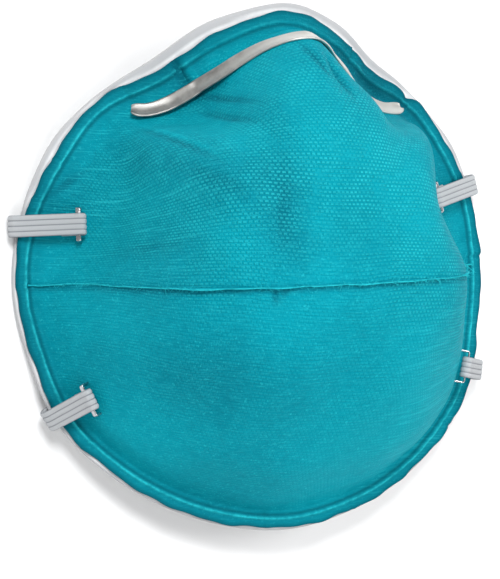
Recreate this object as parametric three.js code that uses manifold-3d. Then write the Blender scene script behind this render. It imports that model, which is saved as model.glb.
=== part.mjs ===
// Moulded cup face mask, lying rim down: +Z is the front of the cup, +Y its nose end, +X the viewer's right.
import * as THREE from 'three';
import { mergeVertices } from 'three/addons/utils/BufferGeometryUtils.js';
import Module from 'manifold-3d';

const wasm = await Module();
wasm.setup();

// Cup, in millimetres
const halfWidth = 68.7;      // middle to the cover's edge at the side
const halfHeight = 69.5;     // middle to the cover's edge at the nose
const crownHeight = 56.8;    // front of the cup above the lowest point of the rim
const crownUp = -2.9;        // crown's place along the height
const browRise = 2.2;        // how much fuller the cup is above the seam
const noseLift = 23.3;       // rim at the nose above the rim at the sides
const chinLift = 11.4;       // rim at the chin above the rim at the sides
const flangeWidth = 4.6;     // flat band outside the cup's foot
const beadInset = 2.5;       // welded line's middle inside the cover's edge
const beadWidth = 1.6;
const beadHeight = 0.45;
const linerBorder = 3.5;     // widest strip of liner that shows past the cover's edge
const linerShift = 0.25;     // how far the liner sits to the left of the cover
const dentDepth = 1.8;       // deepest soft dent in the cover
const dentReach = { crown: 0.1, foot: 0.9 };   // shares of the foot's radius between which dents show

// Walls and clearances
const coverWall = 1.2;
const flangeWall = 0.8;      // cover where the weld presses it
const linerWall = 1.0;
const gap = 0.3;             // between neighbouring pieces

// Seam across the cup
const seamUp = 1.5;          // seam's height on the rim
const seamLean = 0.055;      // how far it drops towards the chin for each millimetre of depth
const seamSpan = 62;         // half its raised length
const seamProud = 1.5;       // highest stand of its lip off the cover
const seamThick = 0.9;
const seamMiddleStand = 0.5; // share of seamProud its lip stands at the middle
const seamEndStand = 0.2;    // and at its very ends

// Nose clip
const clipSpan = 39.5;       // half its width across the nose
const clipUp = 61.6;         // its middle along the height
const clipDrop = 17.6;       // how far its ends sit below its middle
const clipBend = 36.8;       // where its ends turn level
const clipWidth = 4.4;
const clipThick = 0.8;
const clipEndLift = 1.1;     // curl of its tips off the cover
const clipCurl = 24;         // how sharply that curl begins
const clipTip = 0.45;        // width at its very tips, as a share of clipWidth

// Elastic straps and their staples
const strapWidth = 5.6;
const strapThick = 0.9;
const tailReach = 4.6;       // cut end past the staple
const foldReach = 0.7;       // straight bit between the staple and the fold
const pressReach = 0.7;      // folded strap pressed flat over the staple
const stapleSpan = 9;        // crown's length across the strap
const stapleBreadth = 1.3;   // flat wire's width along the strap
const wire = 0.5;            // flat wire's thickness
const clinchReach = 3;

// Right half of the rim by direction in degrees, -90 at the chin and 90 at the nose. reach is a share of
// the oval's radius, lift of chinLift or noseLift and border of linerBorder. The other columns are how far
// out the cup's wall stands at 0.9, 0.7, 0.4 and 0.15 of its height, as shares of its foot's radius.
const directionStep = 15;
const levels = { high: 0.9, upper: 0.7, middle: 0.4, low: 0.15 };
const directions = [
  { at: -90, reach: 0.948, lift: 1.000, border: 0.15, high: 0.225, upper: 0.490, middle: 0.790, low: 0.930 },
  { at: -75, reach: 0.947, lift: 0.950, border: 0.12, high: 0.250, upper: 0.520, middle: 0.805, low: 0.930 },
  { at: -60, reach: 0.958, lift: 0.840, border: 0.10, high: 0.295, upper: 0.555, middle: 0.815, low: 0.935 },
  { at: -45, reach: 0.977, lift: 0.650, border: 0.10, high: 0.335, upper: 0.585, middle: 0.815, low: 0.950 },
  { at: -30, reach: 1.000, lift: 0.400, border: 0.12, high: 0.370, upper: 0.615, middle: 0.815, low: 0.945 },
  { at: -15, reach: 0.990, lift: 0.170, border: 0.12, high: 0.410, upper: 0.650, middle: 0.810, low: 0.915 },
  { at: 0, reach: 1.000, lift: 0.000, border: 0.10, high: 0.450, upper: 0.650, middle: 0.760, low: 0.860 },
  { at: 15, reach: 1.000, lift: 0.055, border: 0.10, high: 0.470, upper: 0.610, middle: 0.700, low: 0.780 },
  { at: 30, reach: 0.981, lift: 0.150, border: 0.50, high: 0.490, upper: 0.625, middle: 0.725, low: 0.800 },
  { at: 45, reach: 0.970, lift: 0.215, border: 0.25, high: 0.530, upper: 0.720, middle: 0.850, low: 0.910 },
  { at: 60, reach: 0.918, lift: 0.430, border: 0.80, high: 0.555, upper: 0.735, middle: 0.800, low: 0.860 },
  { at: 75, reach: 0.962, lift: 0.770, border: 0.85, high: 0.580, upper: 0.755, middle: 0.850, low: 0.920 },
  { at: 90, reach: 1.000, lift: 1.000, border: 0.62, high: 0.610, upper: 0.760, middle: 0.930, low: 0.985 },
];

// Soft dents: across and up are shares of halfWidth and halfHeight, long and wide of halfWidth,
// turn is the long side's angle from +X in degrees, deep a share of dentDepth.
const dents = [
  { across: -0.51, up: 0.54, long: 0.12, wide: 0.05, turn: -49, deep: 0.8 },
  { across: -0.28, up: 0.72, long: 0.07, wide: 0.04, turn: 0, deep: 0.8 },
  { across: -0.30, up: 0.60, long: 0.08, wide: 0.05, turn: -40, deep: 0.6 },
  { across: 0.07, up: 0.74, long: 0.08, wide: 0.05, turn: -74, deep: 0.9 },
  { across: 0.50, up: 0.40, long: 0.16, wide: 0.07, turn: 50, deep: 0.6 },
  { across: -0.58, up: -0.42, long: 0.20, wide: 0.10, turn: 60, deep: 0.5 },
  { across: 0.56, up: -0.44, long: 0.22, wide: 0.10, turn: -55, deep: 0.6 },
];

const rayCount = 56;
const domeRings = 13;

const radians = THREE.MathUtils.degToRad;
const { lerp, smoothstep } = THREE.MathUtils;

// Value of one column of the directions table at any angle, on a smooth curve through its rows
function along(key, angle) {
  const folded = THREE.MathUtils.radToDeg(Math.atan2(Math.sin(angle), Math.abs(Math.cos(angle))));
  const place = (folded - directions[0].at) / directionStep;
  const last = directions.length - 1;
  const row = Math.min(Math.floor(place), last - 1);
  const read = (i) => directions[i < 0 ? -i : i > last ? 2 * last - i : i][key];
  const [a, b, c, d] = [read(row - 1), read(row), read(row + 1), read(row + 2)];
  const t = place - row;
  return b + 0.5 * t * (c - a + t * (2 * a - 5 * b + 4 * c - d + t * (3 * (b - c) + d - a)));
}

const ovalRadius = (angle) =>
  (halfWidth * halfHeight) / Math.hypot(halfHeight * Math.cos(angle), halfWidth * Math.sin(angle));
const edgeRadius = (angle) => along('reach', angle) * ovalRadius(angle);
const footRadius = (angle) => edgeRadius(angle) - flangeWidth;
const borderAt = (angle) =>
  Math.max(along('border', angle) * linerBorder - linerShift * Math.cos(angle), gap);
const rimLift = (angle) => Math.max(along('lift', angle), 0) * (Math.sin(angle) < 0 ? chinLift : noseLift);
const flangeHeight = (angle) => rimLift(angle) + linerWall + gap + flangeWall;

function dentAt(x, y) {
  let sum = 0;
  for (const dent of dents) {
    const turn = radians(dent.turn);
    const dx = x / halfWidth - dent.across;
    const dy = y / halfHeight - dent.up;
    const u = (dx * Math.cos(turn) + dy * Math.sin(turn)) / dent.long;
    const v = (dy * Math.cos(turn) - dx * Math.sin(turn)) / dent.wide;
    sum += dent.deep * Math.exp(-u * u - v * v);
  }
  return sum * dentDepth;
}

// The cup's profile over one direction: x is the radius and y the height over the flange. It runs smoothly
// from the crown through the four levels to the foot, and its ends lean on a mirrored point and the flange.
const profiles = new Map();
function profile(angle) {
  const key = angle.toFixed(5);
  if (!profiles.has(key)) {
    const foot = footRadius(angle);
    const height = crownHeight - flangeHeight(angle);
    const stand = (name) => new THREE.Vector3(along(name, angle) * foot, levels[name] * height, 0);
    const mirrored = stand('high').multiply(new THREE.Vector3(-1, 1, 1));
    const points = [mirrored, new THREE.Vector3(0, height, 0), ...Object.keys(levels).map(stand)];
    points.push(new THREE.Vector3(foot, 0, 0), new THREE.Vector3(foot + flangeWidth, 0, 0));
    profiles.set(key, new THREE.CatmullRomCurve3(points, false, 'centripetal'));
  }
  return profiles.get(key);
}

// A point of the cover's face: turn runs from 0 at the crown to 1 at the foot, and beyond is how far past
// the foot it lies
const profileSpans = 7;
function coverPoint(angle, turn, beyond = 0) {
  const { x: radius, y: height } = profile(angle).getPoint((1 + turn * (profileSpans - 2)) / profileSpans);
  const share = radius / footRadius(angle);
  const flange = flangeHeight(angle);
  const brow = browRise * share * Math.max(Math.sin(angle), 0) ** 2 * (height / (crownHeight - flange));
  const x = (radius + beyond) * Math.cos(angle);
  const y = (radius + beyond) * Math.sin(angle) + crownUp * (1 - share);
  const fade = smoothstep(share, 0, dentReach.crown) * (1 - smoothstep(share, dentReach.foot, 1));
  return new THREE.Vector3(x, y, flange + height + brow - fade * dentAt(x, y));
}

// The same face above a place given across and up, found by closing in on its direction and its turn
function faceAt(x, y) {
  let angle = 0;
  let turn = 0.5;
  let share = 0.5;
  for (let pass = 0; pass < 10; pass++) {
    const up = y - crownUp * (1 - share);
    angle = Math.atan2(up, x);
    share = Math.min(Math.hypot(x, up) / footRadius(angle), 1);
    let [near, far] = [0, 1];
    for (let half = 0; half < 18; half++) {
      turn = (near + far) / 2;
      const radius = profile(angle).getPoint((1 + turn * (profileSpans - 2)) / profileSpans).x;
      [near, far] = radius < share * footRadius(angle) ? [turn, far] : [near, turn];
    }
  }
  const beyond = Math.max(Math.hypot(x, y) - footRadius(angle), 0);
  return coverPoint(angle, turn, beyond);
}

// Outward direction of that face
function faceNormal(x, y) {
  const step = 0.4;
  const across = faceAt(x + step, y).sub(faceAt(x - step, y));
  const up = faceAt(x, y + step).sub(faceAt(x, y - step));
  return across.cross(up).normalize();
}

// One sheet of the cup as closed rings of points. Each ring after the dome lies past the foot by its reach.
function sheetRings(reaches) {
  const rings = [];
  for (let ring = 1; ring <= domeRings; ring++) {
    rings.push((angle) => coverPoint(angle, ring / domeRings));
  }
  for (const reach of reaches) {
    rings.push((angle) => coverPoint(angle, 1, reach(angle)));
  }
  const rays = Array.from({ length: rayCount }, (_, i) => (i / rayCount) * 2 * Math.PI);
  return rings.map((ring) => rays.map(ring));
}

// Outward direction at each point of a sheet, from its neighbours round and across
function ringNormals(rings, crown) {
  return rings.map((ring, r) => ring.map((_, i) => {
    const next = ring[(i + 1) % rayCount];
    const before = ring[(i + rayCount - 1) % rayCount];
    const inner = r > 0 ? rings[r - 1][i] : crown;
    const outer = rings[Math.min(r + 1, rings.length - 1)][i];
    const out = outer.clone().sub(inner);
    return out.cross(next.clone().sub(before)).normalize();
  }));
}

function closedMesh(points, faces) {
  const geometry = new THREE.BufferGeometry();
  geometry.setAttribute('position', new THREE.Float32BufferAttribute(points.flatMap((p) => p.toArray()), 3));
  geometry.setIndex(faces);
  return geometry;
}

// Closed shell between two sheets with the same rings
function shellBetween(outer, inner, outerCrown, innerCrown) {
  const points = [outerCrown, ...outer.flat(), innerCrown, ...inner.flat()];
  const faces = [];
  const last = outer.length - 1;
  const half = 1 + outer.length * rayCount;
  const at = (side, ring, i) => side * half + 1 + ring * rayCount + (i % rayCount);
  for (let i = 0; i < rayCount; i++) {
    const j = i + 1;
    faces.push(0, at(0, 0, i), at(0, 0, j), half, at(1, 0, j), at(1, 0, i));
    for (let r = 0; r < last; r++) {
      const [a, b, c, d] = [at(0, r, i), at(0, r + 1, i), at(0, r + 1, j), at(0, r, j)];
      faces.push(a, b, c, a, c, d);
      const [e, f, g, h] = [at(1, r, i), at(1, r + 1, i), at(1, r + 1, j), at(1, r, j)];
      faces.push(e, g, f, e, h, g);
    }
    const [p, q, s, t] = [at(0, last, i), at(1, last, i), at(1, last, j), at(0, last, j)];
    faces.push(p, q, s, p, s, t);
  }
  return closedMesh(points, faces);
}

function offset(rings, normals, depthAt) {
  return rings.map((ring, r) => ring.map((point, i) => (
    point.clone().addScaledVector(normals[r][i], -depthAt(r)))));
}

const thinningRings = 4;
const wallAt = (ring) =>
  lerp(coverWall, flangeWall, smoothstep(ring, domeRings - thinningRings, domeRings - 1));

// Cover: the dome, then the flange with its welded line
const flangeReaches = [
  flangeWidth - beadInset - beadWidth / 2,
  flangeWidth - beadInset,
  flangeWidth - beadInset + beadWidth / 2,
  flangeWidth,
];
const crownPoint = coverPoint(0, 0);
const crownNormal = faceNormal(0, crownUp);
const below = (depth) => crownPoint.clone().addScaledVector(crownNormal, -depth);

function makeCoverShell() {
  const base = sheetRings(flangeReaches.map((reach) => () => reach));
  const normals = ringNormals(base, crownPoint);
  const bead = domeRings + 1;
  const outer = offset(base, normals, (ring) => (ring === bead ? -beadHeight : 0));
  const inner = offset(base, normals, wallAt);
  return shellBetween(outer, inner, crownPoint, below(coverWall));
}

// Liner: the same sheet one gap further in, carried on to its own edge
function makeInnerShell() {
  const edge = (angle) => flangeWidth + borderAt(angle);
  const base = sheetRings([() => flangeReaches[0], () => flangeWidth, edge]);
  const normals = ringNormals(base, crownPoint);
  const outer = offset(base, normals, (ring) => wallAt(ring) + gap);
  const inner = offset(base, normals, (ring) => wallAt(ring) + gap + linerWall);
  return shellBetween(outer, inner, below(coverWall + gap), below(coverWall + gap + linerWall));
}

// A band carried along stations, each with its place, side and up directions, width and thickness. A section
// is given across and over, as shares of those two.
const bandSection = [
  [0.5, -0.22], [0.5, 0.22], [0.4, 0.5], [-0.4, 0.5],
  [-0.5, 0.22], [-0.5, -0.22], [-0.4, -0.5], [0.4, -0.5],
];
const seamSection = [[0.5, 0], [0.15, 0.8], [-0.25, 1], [-0.6, 0.85], [-0.5, 0]];
function sweptBand(stations, section = bandSection) {
  const points = stations.flatMap(({ place, side, up, width, thick }) => section.map(([across, over]) =>
    place.clone().addScaledVector(side, across * width).addScaledVector(up, over * thick)));
  const faces = [];
  const count = section.length;
  const last = (stations.length - 1) * count;
  for (let s = 0; s < stations.length - 1; s++) {
    for (let i = 0; i < count; i++) {
      const [a, b] = [s * count + i, s * count + ((i + 1) % count)];
      faces.push(a, b, b + count, a, b + count, a + count);
    }
  }
  for (let i = 1; i < count - 1; i++) {
    faces.push(0, i + 1, i, last, last + i, last + i + 1);
  }
  return closedMesh(points, faces);
}

function toSolid(geometry) {
  const bare = geometry.clone();
  bare.deleteAttribute('normal');
  bare.deleteAttribute('uv');
  const merged = mergeVertices(bare, 1e-5);
  const solid = new wasm.Mesh({
    numProp: 3,
    vertProperties: Float32Array.from(merged.attributes.position.array),
    triVerts: Uint32Array.from(merged.index.array),
  });
  return new wasm.Manifold(solid);
}

function fromSolid(solid) {
  const { vertProperties, triVerts } = solid.getMesh();
  const geometry = new THREE.BufferGeometry();
  geometry.setAttribute('position', new THREE.BufferAttribute(Float32Array.from(vertProperties), 3));
  geometry.setIndex(new THREE.BufferAttribute(Uint32Array.from(triVerts), 1));
  return geometry;
}

// Seam lip: a thin fin in the plane of the seam, its root inside the cover and its edge leaning to the chin
const seamSteps = 34;
const seamEndSharpness = 12;
const tangentStep = 0.5;
function seamPlace(x) {
  let y = seamUp;
  for (let turn = 0; turn < 12; turn++) {
    y = seamUp - seamLean * faceAt(x, y).z;
  }
  return faceAt(x, y);
}

function makeSeamLip() {
  const stations = [];
  for (let i = 0; i <= seamSteps; i++) {
    const share = lerp(-1, 1, i / seamSteps);
    const place = seamPlace(share * seamSpan);
    const before = seamPlace(share * seamSpan - tangentStep);
    const ahead = seamPlace(share * seamSpan + tangentStep).sub(before).normalize();
    const up = faceNormal(place.x, place.y);
    const side = new THREE.Vector3().crossVectors(up, ahead).normalize();
    const sunk = coverWall / 2;
    const rising = lerp(seamMiddleStand, 1, share * share);
    const proud = seamProud * rising * lerp(1, seamEndStand, Math.abs(share) ** seamEndSharpness);
    place.addScaledVector(up, -sunk);
    stations.push({ place, side, up, width: seamThick, thick: sunk + proud });
  }
  return sweptBand(stations, seamSection);
}

// How far a piece lying flat across a place has to stand off it to clear a sheet that hollows under it
const coverSheet = new THREE.Mesh(makeCoverShell());
const rayStart = coverWall * 8;
function standOff(on, side, up, ahead, width, length) {
  let stand = 0;
  for (const across of [-0.5, -0.25, 0, 0.25, 0.5]) {
    for (const forward of [-0.5, 0, 0.5]) {
      const above = on.clone().addScaledVector(side, across * width).addScaledVector(ahead, forward * length);
      const ray = new THREE.Raycaster(above.addScaledVector(up, rayStart), up.clone().negate());
      const [found] = ray.intersectObject(coverSheet);
      stand = found ? Math.max(stand, rayStart - found.distance) : stand;
    }
  }
  return stand;
}

// Nose clip: a flat strip lying on the cover round the nose
const clipSteps = 32;
function clipPlace(across) {
  const swing = (1 - Math.cos(Math.PI * Math.min(Math.abs(across / clipBend), 1))) / 2;
  return faceAt(across, clipUp - clipDrop * swing);
}

function makeNoseClip() {
  const stations = [];
  for (let i = 0; i <= clipSteps; i++) {
    const share = Math.sin(lerp(-1, 1, i / clipSteps) * Math.PI / 2);
    const across = share * clipSpan;
    const on = clipPlace(across);
    const ahead = clipPlace(across + tangentStep).sub(clipPlace(across - tangentStep)).normalize();
    const up = faceNormal(on.x, on.y);
    const side = new THREE.Vector3().crossVectors(up, ahead).normalize();
    const fromEnd = Math.min((1 - Math.abs(share)) * clipSpan / (clipWidth / 2), 1);
    const width = clipWidth * lerp(clipTip, 1, Math.sqrt(fromEnd * (2 - fromEnd)));
    const stand = standOff(on, side, up, ahead, clipWidth, clipWidth);
    stations.push({ place: on, side, up, width, thick: clipThick, stand, share });
  }
  stations.forEach((station, i) => {
    const near = stations.slice(Math.max(i - 1, 0), i + 2);
    const curl = clipEndLift * Math.abs(station.share) ** clipCurl;
    station.rise = Math.max(...near.map(({ stand }) => stand)) + gap + clipThick / 2 + curl;
  });
  stations.forEach(({ place, up, rise }) => place.addScaledVector(up, rise));
  return sweptBand(stations);
}

// Straps: each end has its staple's place as shares of halfWidth and halfHeight, and the direction where the
// strap crosses the rim. Route is the hidden stretch's way inside the cup from the right rim to the middle.
const straps = [
  {
    name: 'upper',
    right: { across: 0.745, up: 0.29, crossing: 19.8 },
    left: { across: 0.768, up: 0.235, crossing: 14 },
    route: [
      [0.78, 0.29], [0.70, 0.35], [0.67, 0.46], [0.58, 0.60],
      [0.43, 0.69], [0.28, 0.67], [0.14, 0.60], [0, 0.57],
    ],
  },
  {
    name: 'lower',
    right: { across: 0.75, up: -0.375, crossing: -24 },
    left: { across: 0.782, up: -0.405, crossing: -28 },
    route: [
      [0.76, -0.40], [0.65, -0.31], [0.61, -0.15], [0.59, 0.06],
      [0.52, 0.26], [0.37, 0.40], [0.18, 0.43], [0, 0.41],
    ],
  },
];
const hands = { right: 1, left: -1 };
const tailHeight = gap + strapThick / 2;
const crownWireHeight = gap + strapThick + gap + wire / 2;
const topHeight = crownWireHeight + wire / 2 + gap + strapThick / 2;

// Where a strap's end is stapled to the cover and where it goes round the rim
function anchor({ across, up: height, crossing }, hand) {
  const face = faceAt(hand * across * halfWidth, height * halfHeight);
  const up = faceNormal(face.x, face.y);
  const middle = hand > 0 ? radians(crossing) : Math.PI - radians(crossing);
  const onPlan = (angle, radius) =>
    new THREE.Vector3(Math.cos(angle), Math.sin(angle), 0).multiplyScalar(radius);
  const out = onPlan(middle, edgeRadius(middle)).sub(face).setZ(0).normalize();
  const level = new THREE.Vector3(-out.y, out.x, 0).multiplyScalar(hand);
  const edge = { reach: 0, top: 0, bottom: Infinity };
  for (const across of [-0.5, -0.375, -0.25, -0.125, 0, 0.125, 0.25, 0.375, 0.5]) {
    const angle = middle + across * (strapWidth / edgeRadius(middle));
    const corner = onPlan(angle, edgeRadius(angle) + borderAt(angle));
    edge.reach = Math.max(edge.reach, corner.sub(face).dot(out));
    edge.top = Math.max(edge.top, flangeHeight(angle));
    edge.bottom = Math.min(edge.bottom, rimLift(angle));
  }
  const wrap = (edge.top - edge.bottom) / 2 + gap + strapThick / 2;
  const hub = face.clone().addScaledVector(out, edge.reach).setZ((edge.top + edge.bottom) / 2);
  const run = hub.clone().sub(face).projectOnPlane(up).normalize();
  const side = new THREE.Vector3().crossVectors(up, run).multiplyScalar(hand).normalize();
  const tailMiddle = face.clone().addScaledVector(run, (tailReach - foldReach) / 2);
  const stand = standOff(tailMiddle, side, up, run, strapWidth, tailReach + foldReach);
  const seat = face.clone().addScaledVector(up, stand);
  return { seat, stand, up, run, side, out, level, hub, wrap };
}

const anchors = straps.flatMap((strap) => Object.entries(hands).map(([end, hand]) => (
  { name: `${strap.name}_${end}`, ...anchor(strap[end], hand) })));
// A strap lying under the rim lifts the cup when the rim alone would leave it no room
const floorHeight = Math.min(0, ...anchors.map(({ hub, wrap }) => hub.z - wrap - strapThick / 2));

// The shown end of a strap: its cut tail, the fold, the run to the rim and the turn round it
const foldSteps = 4;
const wrapSteps = 6;
function shownEnd({ seat, up, run, side, out, level, hub, wrap }) {
  const stations = [];
  const add = (place, across) => stations.push({ place, across });
  const onSeat = (reach, height) => seat.clone().addScaledVector(run, reach).addScaledVector(up, height);
  add(onSeat(tailReach, tailHeight), side);
  add(onSeat(0, tailHeight), side);
  const bend = (topHeight - tailHeight) / 2;
  for (let i = 0; i <= foldSteps; i++) {
    const turn = (i / foldSteps) * Math.PI;
    add(onSeat(-foldReach - bend * Math.sin(turn), tailHeight + bend * (1 - Math.cos(turn))), side);
  }
  const start = onSeat(pressReach, topHeight);
  add(start, side);
  const toHub = hub.clone().sub(start);
  const outward = toHub.dot(out);
  const fall = Math.atan2(-toHub.z, outward);
  const slant = Math.asin(wrap / Math.hypot(toHub.z, outward));
  const first = Math.PI / 2 - fall + slant;
  for (let i = 0; i <= wrapSteps; i++) {
    const turn = lerp(first, -Math.PI / 2, i / wrapSteps);
    const place = hub.clone().addScaledVector(out, wrap * Math.cos(turn));
    place.z += wrap * Math.sin(turn);
    if (i === 0) {
      add(start.clone().lerp(place, 0.5), side.clone().lerp(level, 0.5).normalize());
    }
    add(place, level);
  }
  return stations;
}

const leadIn = 2;            // straight bit of strap after it comes in under the rim
const strapStep = 4.6;       // spacing of the hidden stretch's sections
function wholeStrap(strap, rightEnd, leftEnd) {
  const [right, left] = [shownEnd(rightEnd), shownEnd(leftEnd).reverse()];
  const lying = floorHeight + strapThick / 2;
  const inward = strap.route.map(([x, y]) => new THREE.Vector3(x * halfWidth, y * halfHeight, lying));
  const outward = inward.slice(0, -1).reverse().map((p) => new THREE.Vector3(-p.x, p.y, p.z));
  const [from, to] = [right.at(-1).place, left[0].place];
  const curve = new THREE.CatmullRomCurve3([
    from, from.clone().addScaledVector(rightEnd.out, -leadIn), ...inward,
    ...outward, to.clone().addScaledVector(leftEnd.out, -leadIn), to,
  ], false, 'centripetal');
  const steps = Math.ceil(curve.getLength() / strapStep);
  const upright = new THREE.Vector3(0, 0, 1);
  const hidden = curve.getSpacedPoints(steps).slice(1, -1).map((place, i) => (
    {
      place: place.setZ(Math.max(place.z, lying)),
      across: upright.clone().cross(curve.getTangentAt((i + 1) / steps)).normalize(),
    }));
  const all = [...right, ...hidden, ...left];
  return all.map(({ place, across }, i) => {
    const before = all[Math.max(i - 1, 0)].place;
    const ahead = all[Math.min(i + 1, all.length - 1)].place.clone().sub(before).normalize();
    const up = new THREE.Vector3().crossVectors(ahead, across).normalize();
    const side = new THREE.Vector3().crossVectors(up, ahead).normalize();
    return { place, side, up, width: strapWidth, thick: strapThick };
  });
}

// Staple: crown over the strap's tail, legs through both shells, tips bent in behind the liner
const backDepth = coverWall + gap + linerWall + gap;
const bow = (stapleSpan / 2) ** 2 / halfWidth;
function stapleShape({ stand }) {
  const half = stapleSpan / 2;
  const top = crownWireHeight + wire / 2;
  const foot = -(stand + backDepth + bow + wire);
  const inset = half - wire;
  const outline = [
    [-half, top], [half, top], [half, foot], [half - clinchReach, foot], [half - clinchReach, foot + wire],
    [inset, foot + wire], [inset, top - wire], [-inset, top - wire], [-inset, foot + wire],
    [clinchReach - half, foot + wire], [clinchReach - half, foot], [-half, foot],
  ];
  return new THREE.Shape(outline.reverse().map(([x, y]) => new THREE.Vector2(x, y)));
}

const stapleFrame = ({ seat, up, run }) =>
  new THREE.Matrix4().makeBasis(new THREE.Vector3().crossVectors(up, run), up, run).setPosition(seat);

const holeDepth = 4 * backDepth;
function legHoles(frame) {
  return [-1, 1].map((end) => {
    const hole = new THREE.BoxGeometry(wire + 2 * gap, holeDepth, stapleBreadth + 2 * gap);
    hole.translate(end * (stapleSpan - wire) / 2, 0, 0);
    return toSolid(hole.applyMatrix4(frame));
  });
}

const materials = {
  cover: { color: 0x1d93a8, roughness: 0.85, metalness: 0 },
  liner: { color: 0xeef1f2, roughness: 0.9, metalness: 0 },
  clip: { color: 0xc9c6bf, roughness: 0.35, metalness: 1 },
  strap: { color: 0xe9eaee, roughness: 0.8, metalness: 0 },
  staple: { color: 0xa8abb0, roughness: 0.3, metalness: 1 },
};

function named(name, geometry, finish) {
  geometry.computeVertexNormals();
  const mesh = new THREE.Mesh(geometry, new THREE.MeshStandardMaterial(materials[finish]));
  mesh.name = name;
  return mesh;
}

const mask = new THREE.Group();
const holes = anchors.flatMap((base) => legHoles(stapleFrame(base)));
const pierce = (solid) => holes.reduce((whole, hole) => whole.subtract(hole), solid);

const cover = toSolid(makeCoverShell()).add(toSolid(makeSeamLip()));
mask.add(named('cover_shell', fromSolid(pierce(cover)), 'cover'));
mask.add(named('inner_shell', fromSolid(pierce(toSolid(makeInnerShell()))), 'liner'));
mask.add(named('nose_clip', makeNoseClip(), 'clip'));
straps.forEach((strap, i) => {
  const stations = wholeStrap(strap, anchors[2 * i], anchors[2 * i + 1]);
  mask.add(named(`${strap.name}_strap`, sweptBand(stations), 'strap'));
});
for (const base of anchors) {
  const pressed = { depth: stapleBreadth, bevelEnabled: false };
  const geometry = new THREE.ExtrudeGeometry(stapleShape(base), pressed);
  geometry.translate(0, 0, -stapleBreadth / 2);
  const mesh = named(`staple_${base.name}`, geometry, 'staple');
  mesh.applyMatrix4(stapleFrame(base));
  mask.add(mesh);
}

// The origin is under the middle of the whole mask, on the surface it lies on
const box = new THREE.Box3().setFromObject(mask, true);
const middle = box.getCenter(new THREE.Vector3());
mask.position.set(-middle.x, -middle.y, -box.min.z);

export default mask;
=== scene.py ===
import bpy
import numpy as np
from mathutils import Matrix, Vector


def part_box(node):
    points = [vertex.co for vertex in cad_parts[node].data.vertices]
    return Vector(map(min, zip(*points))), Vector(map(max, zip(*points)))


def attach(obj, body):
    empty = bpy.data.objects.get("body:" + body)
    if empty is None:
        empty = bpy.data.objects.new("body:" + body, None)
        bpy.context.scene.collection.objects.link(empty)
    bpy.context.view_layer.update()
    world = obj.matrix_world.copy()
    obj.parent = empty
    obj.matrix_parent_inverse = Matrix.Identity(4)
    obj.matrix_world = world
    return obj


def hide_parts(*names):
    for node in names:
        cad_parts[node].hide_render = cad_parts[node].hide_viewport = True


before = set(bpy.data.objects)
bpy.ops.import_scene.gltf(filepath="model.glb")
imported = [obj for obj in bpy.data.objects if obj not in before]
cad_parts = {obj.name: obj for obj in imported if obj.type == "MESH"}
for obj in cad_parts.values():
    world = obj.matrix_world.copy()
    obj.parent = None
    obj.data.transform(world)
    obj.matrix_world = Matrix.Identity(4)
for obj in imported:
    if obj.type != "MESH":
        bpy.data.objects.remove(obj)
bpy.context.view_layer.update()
mm = 0.001

# The cup's sizes in millimetres, the same as the part's own
cup = {
    "halfWidth": 68.7, "halfHeight": 69.5, "crownHeight": 56.8, "crownUp": -2.9, "browRise": 2.2,
    "noseLift": 23.3, "chinLift": 11.4, "flangeWidth": 4.6, "linerBorder": 3.5, "linerShift": 0.25,
    "dentDepth": 1.8, "coverWall": 1.2, "flangeWall": 0.8, "linerWall": 1.0, "gap": 0.3,
}
levels = {"high": 0.9, "upper": 0.7, "middle": 0.4, "low": 0.15}
directionStep = 15
directions = {        # right half of the rim, a value every 15 degrees from the chin to the nose
    "reach":  [0.948, 0.947, 0.958, 0.977, 1.000, 0.990, 1.000, 1.000, 0.981, 0.970, 0.918, 0.962, 1.000],
    "lift":   [1.000, 0.950, 0.840, 0.650, 0.400, 0.170, 0.000, 0.055, 0.150, 0.215, 0.430, 0.770, 1.000],
    "border": [0.15, 0.12, 0.10, 0.10, 0.12, 0.12, 0.10, 0.10, 0.50, 0.25, 0.80, 0.85, 0.62],
    "high":   [0.225, 0.250, 0.295, 0.335, 0.370, 0.410, 0.450, 0.470, 0.490, 0.530, 0.555, 0.580, 0.610],
    "upper":  [0.490, 0.520, 0.555, 0.585, 0.615, 0.650, 0.650, 0.610, 0.625, 0.720, 0.735, 0.755, 0.760],
    "middle": [0.790, 0.805, 0.815, 0.815, 0.815, 0.810, 0.760, 0.700, 0.725, 0.850, 0.800, 0.850, 0.930],
    "low":    [0.930, 0.930, 0.935, 0.950, 0.945, 0.915, 0.860, 0.780, 0.800, 0.910, 0.860, 0.920, 0.985],
}
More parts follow.
